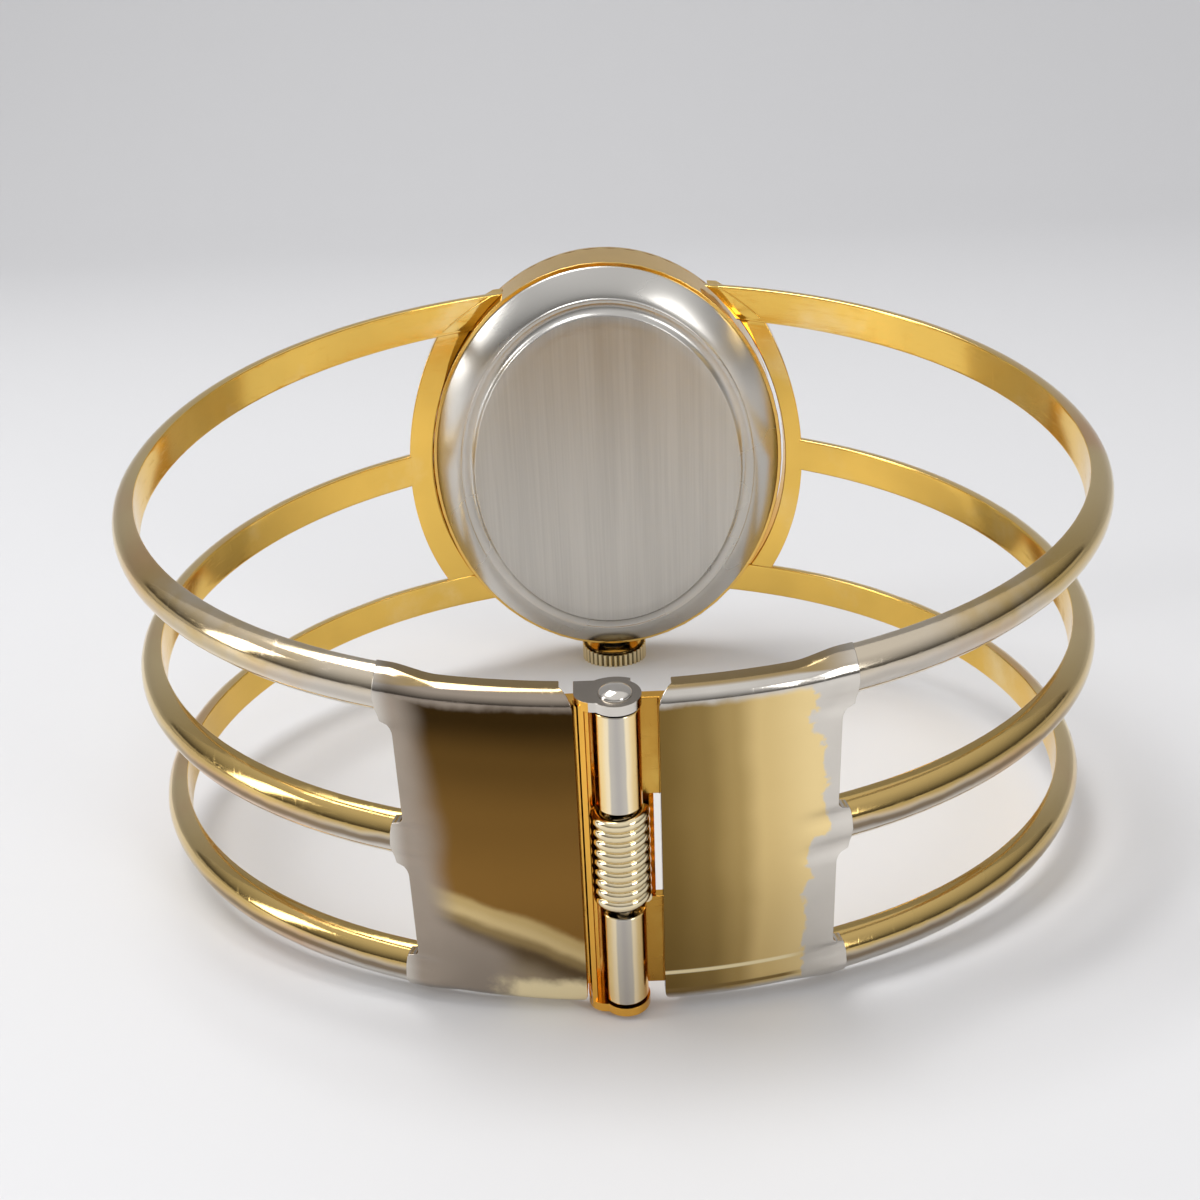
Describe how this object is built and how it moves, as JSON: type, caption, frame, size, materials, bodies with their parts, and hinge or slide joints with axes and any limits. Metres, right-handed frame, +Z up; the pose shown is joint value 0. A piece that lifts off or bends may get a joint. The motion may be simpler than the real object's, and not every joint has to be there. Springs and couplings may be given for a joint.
{
  "type": "cuff watch",
  "caption": "Open hinged cuff watch: a sprung hinge behind the wrist joins two arms of slim bars that carry an oval hand-wound watch.",
  "frame": {"origin": "below the middle of the whole watch, level with the tip of the crown", "axes": "+X across the cuff towards the swinging arm, +Y the way the dial faces, +Z up along the wrist, away from the crown"},
  "size_m": [0.057, 0.0544, 0.0327],
  "materials": {
    "polished_gold": "polished yellow gold plating",
    "champagne_gold": "polished gold plating, pale on the bars' outer faces",
    "hinge_metal": "worn, brushed gold plating",
    "case_back_steel": "brushed flat with a polished slope",
    "crystal": "clear",
    "gasket_rubber": "matte",
    "dial_paint": "satin ivory",
    "hand_paint": "gloss dark",
    "gilt": "polished",
    "nickel": "fine brushed nickel",
    "movement_brass": "gilt",
    "steel": "polished steel",
    "blued_steel": "blued",
    "ruby": "polished"
  },
  "bodies": {
    "watch": {"left_top_bar": "champagne_gold", "left_middle_bar": "champagne_gold", "left_bottom_bar": "champagne_gold", "left_rail": "polished_gold", "left_rear_plate": "polished_gold", "hinge_yoke": "hinge_metal", "hinge_pin": "hinge_metal", "hinge_spring": "hinge_metal", "case_middle": "polished_gold", "case_back": "case_back_steel", "case_back_gasket": "gasket_rubber", "bezel": "polished_gold", "crystal": "crystal", "crystal_gasket": "gasket_rubber", "crown_tube": "steel", "movement_ring": "movement_brass", "dial": "dial_paint", "hour_markers": "gilt", "main_plate": "nickel", "barrel_bridge": "nickel", "train_bridge": "nickel", "balance_cock": "nickel", "pallet_bridge": "nickel", "bridge_screws": "steel", "jewels": "ruby", "crown_wheel_core": "steel", "click_spring": "blued_steel", "regulator": "steel", "yoke_lever": "steel", "hairspring": "blued_steel"},
    "right_arm": {"right_top_bar": "champagne_gold", "right_middle_bar": "champagne_gold", "right_bottom_bar": "champagne_gold", "right_rail": "polished_gold", "right_rear_plate": "polished_gold", "hinge_leaf": "hinge_metal"},
    "crown_slide": {"crown_gasket": "gasket_rubber"},
    "crown_knob": {"crown": "polished_gold", "winding_stem": "steel"},
    "setting": {"setting_lever": "steel"},
    "winding": {"winding_pinion": "steel"},
    "sliding": {"sliding_pinion": "steel"},
    "crown_gear": {"crown_wheel": "steel"},
    "winding_arbor": {"barrel_arbor": "steel", "ratchet_wheel": "steel"},
    "click_arm": {"click": "steel"},
    "barrel": {"barrel_drum": "movement_brass", "mainspring": "blued_steel"},
    "center": {"center_wheel": "movement_brass"},
    "third": {"third_wheel": "movement_brass"},
    "fourth": {"fourth_wheel": "movement_brass"},
    "escape": {"escape_wheel": "steel"},
    "pallet": {"pallet_fork": "steel"},
    "balance": {"balance_wheel": "movement_brass"},
    "minutes": {"cannon_pinion": "steel", "minute_hand": "hand_paint"},
    "minute_gear": {"minute_wheel": "movement_brass"},
    "hours": {"hour_wheel": "movement_brass", "hour_hand": "hand_paint"}
  },
  "joints": [
    {"name": "cuff_opening", "type": "hinge", "parent": "watch", "child": "right_arm", "pos_m": [0, -0.02581, 0.0181], "axis": [0, 0, -1], "range_deg": [0, 50], "stiffness_Nm_per_rad": 0.02, "springref_deg": -17.19, "deforming": ["hinge_spring"]},
    {"name": "crown_pull", "type": "slide", "parent": "watch", "child": "crown_slide", "axis": [0, 0, -1], "range_m": [0, 0.0008]},
    {"name": "crown_turn", "type": "hinge", "parent": "crown_slide", "child": "crown_knob", "pos_m": [0, 0.02249, -0.0019], "axis": [0, 0, 1], "continuous": true},
    {"name": "setting_lever_swing", "type": "hinge", "parent": "watch", "child": "setting", "pos_m": [0.002, 0.02229, 0.00955], "axis": [0, -1, 0], "range_deg": [0, 30]},
    {"name": "winding_pinion_turn", "type": "hinge", "parent": "watch", "child": "winding", "pos_m": [0, 0.02249, -0.0019], "axis": [0, 0, 1], "continuous": true},
    {"name": "sliding_pinion_turn", "type": "hinge", "parent": "watch", "child": "sliding", "pos_m": [0, 0.02249, -0.0019], "axis": [0, 0, 1], "continuous": true},
    {"name": "crown_wheel_turn", "type": "hinge", "parent": "watch", "child": "crown_gear", "pos_m": [0, 0.02229, 0.01338], "axis": [0, 1, 0], "continuous": true},
    {"name": "ratchet_turn", "type": "hinge", "parent": "watch", "child": "winding_arbor", "pos_m": [-0.00375, 0.02229, 0.01604], "axis": [0, 1, 0], "continuous": true},
    {"name": "click_swing", "type": "hinge", "parent": "watch", "child": "click_arm", "pos_m": [-0.00547, 0.02229, 0.0185], "axis": [0, -1, 0], "range_deg": [0, 8], "stiffness_Nm_per_rad": 0.000002, "springref_deg": -11.46, "deforming": ["click_spring"]},
    {"name": "seconds_turn", "type": "hinge", "parent": "watch", "child": "fourth", "pos_m": [0.00303, 0.02229, 0.02], "axis": [0, -1, 0], "continuous": true},
    {"name": "escape_turn", "type": "hinge", "parent": "watch", "child": "escape", "pos_m": [0.00591, 0.02229, 0.02025], "axis": [0, -1, 0], "continuous": true},
    {"name": "third_turn", "type": "hinge", "parent": "watch", "child": "third", "pos_m": [0.00031, 0.02229, 0.02099], "axis": [0, -1, 0], "continuous": true},
    {"name": "center_turn", "type": "hinge", "parent": "watch", "child": "center", "pos_m": [0, 0.02229, 0.0174], "axis": [0, -1, 0], "continuous": true},
    {"name": "barrel_turn", "type": "hinge", "parent": "watch", "child": "barrel", "pos_m": [-0.00375, 0.02229, 0.01604], "axis": [0, -1, 0], "continuous": true},
    {"name": "pallet_swing", "type": "hinge", "parent": "watch", "child": "pallet", "pos_m": [0.0063, 0.02229, 0.01803], "axis": [0, 1, 0], "range_deg": [-4, 4]},
    {"name": "balance_swing", "type": "hinge", "parent": "watch", "child": "balance", "pos_m": [0.0049, 0.02229, 0.0147], "axis": [0, 1, 0], "range_deg": [-135, 135], "stiffness_Nm_per_rad": 0.00000005, "deforming": ["hairspring"]},
    {"name": "minute_turn", "type": "hinge", "parent": "watch", "child": "minutes", "pos_m": [0, 0.02229, 0.0174], "axis": [0, -1, 0], "continuous": true},
    {"name": "minute_wheel_turn", "type": "hinge", "parent": "watch", "child": "minute_gear", "pos_m": [-0.0018, 0.02229, 0.01614], "axis": [0, -1, 0], "continuous": true},
    {"name": "hour_turn", "type": "hinge", "parent": "watch", "child": "hours", "pos_m": [0, 0.02229, 0.0174], "axis": [0, -1, 0], "continuous": true}
  ],
  "couplings": [
    {"joint": "setting_lever_swing", "follows": "crown_pull", "rad_per_m": 651.51},
    {"joint": "winding_pinion_turn", "follows": "crown_turn", "ratio": 1},
    {"joint": "sliding_pinion_turn", "follows": "crown_turn", "ratio": 1},
    {"joint": "crown_wheel_turn", "follows": "crown_turn", "ratio": -0.6875},
    {"joint": "ratchet_turn", "follows": "crown_turn", "ratio": 0.75},
    {"joint": "escape_turn", "follows": "seconds_turn", "ratio": -10},
    {"joint": "third_turn", "follows": "seconds_turn", "ratio": -0.13333},
    {"joint": "center_turn", "follows": "seconds_turn", "ratio": 0.016667},
    {"joint": "barrel_turn", "follows": "seconds_turn", "ratio": -0.0027778},
    {"joint": "minute_wheel_turn", "follows": "minute_turn", "ratio": -0.33333},
    {"joint": "hour_turn", "follows": "minute_turn", "ratio": 0.083333}
  ]
}
